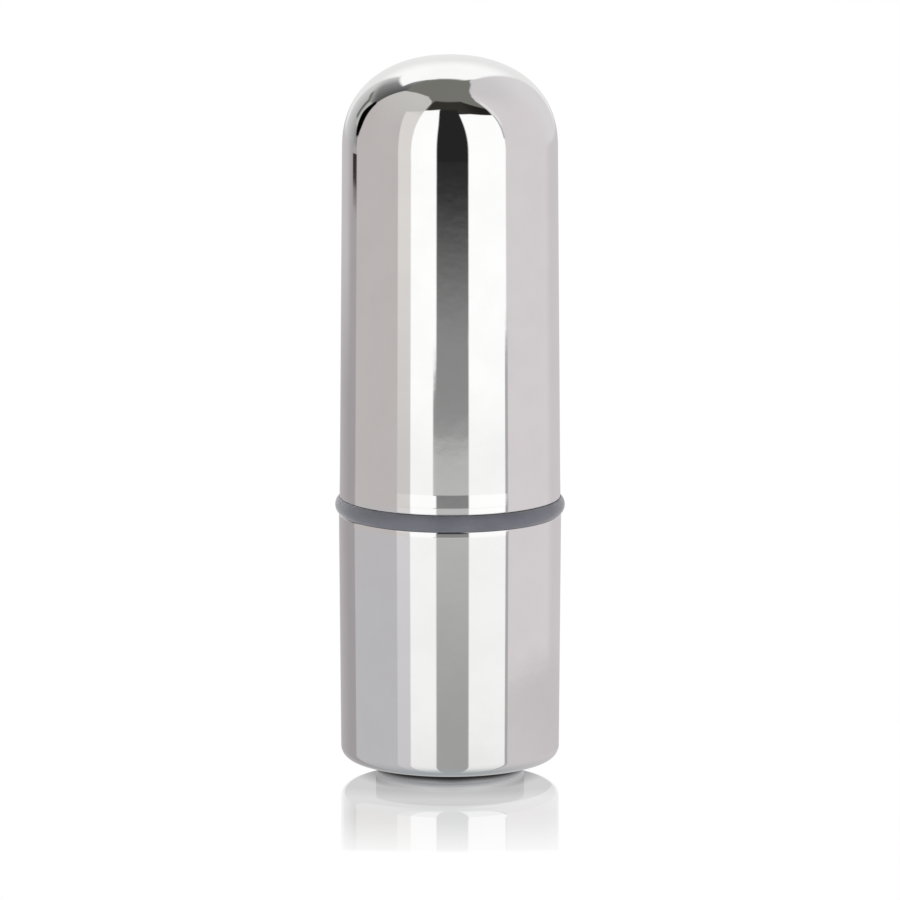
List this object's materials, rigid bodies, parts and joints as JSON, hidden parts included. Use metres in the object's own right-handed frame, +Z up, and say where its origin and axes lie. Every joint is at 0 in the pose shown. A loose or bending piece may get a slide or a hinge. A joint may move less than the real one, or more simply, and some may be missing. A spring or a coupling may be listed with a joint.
{
  "type": "lipstick case",
  "caption": "Twist-up lipstick case: bright domed pull-off cap, soft seal ring, bright cylindrical base on a small disc foot, with a screw mechanism that raises the stick.",
  "frame": {"origin": "centre of the underside of the foot, where the case stands", "axes": "+Z up along the case, from foot to dome; X lies in the plane of the cup's guide pegs"},
  "size_m": [0.0228, 0.0228, 0.0718],
  "materials": {
    "bright_shell": "polished",
    "liner_plastic": "satin",
    "weight_steel": "satin",
    "insert_plastic": "satin",
    "seal_rubber": "satin",
    "foot_metal": "satin",
    "label_film": "satin",
    "tube_plastic": "satin",
    "brake_rubber": "satin",
    "collar_metal": "polished",
    "cam_plastic": "satin",
    "cup_plastic": "gloss",
    "colour_wax": "satin"
  },
  "bodies": {
    "base": {"base_shell": "bright_shell", "base_weight": "weight_steel", "base_insert": "insert_plastic", "seal_ring": "seal_rubber", "foot_disc": "foot_metal", "shade_label": "label_film", "inner_tube": "tube_plastic", "brake_ring": "brake_rubber"},
    "collar": {"collar_sleeve": "collar_metal", "spiral_sleeve": "cam_plastic"},
    "cup": {"lipstick_cup": "cup_plastic", "lipstick_stick": "colour_wax"},
    "cap": {"cap_shell": "bright_shell", "cap_liner": "liner_plastic"}
  },
  "joints": [
    {"name": "collar_turn", "type": "hinge", "parent": "base", "child": "collar", "pos_m": [0, 0, 0.02787], "axis": [0, 0, -1], "range_deg": [0, 450]},
    {"name": "cup_rise", "type": "slide", "parent": "base", "child": "cup", "axis": [0, 0, 1], "range_m": [0, 0.023]},
    {"name": "cap_pull", "type": "slide", "parent": "collar", "child": "cap", "axis": [0, 0, 1], "range_m": [0, 0.045]}
  ],
  "couplings": [
    {"joint": "cup_rise", "follows": "collar_turn", "m_per_rad": 0.0029285}
  ]
}
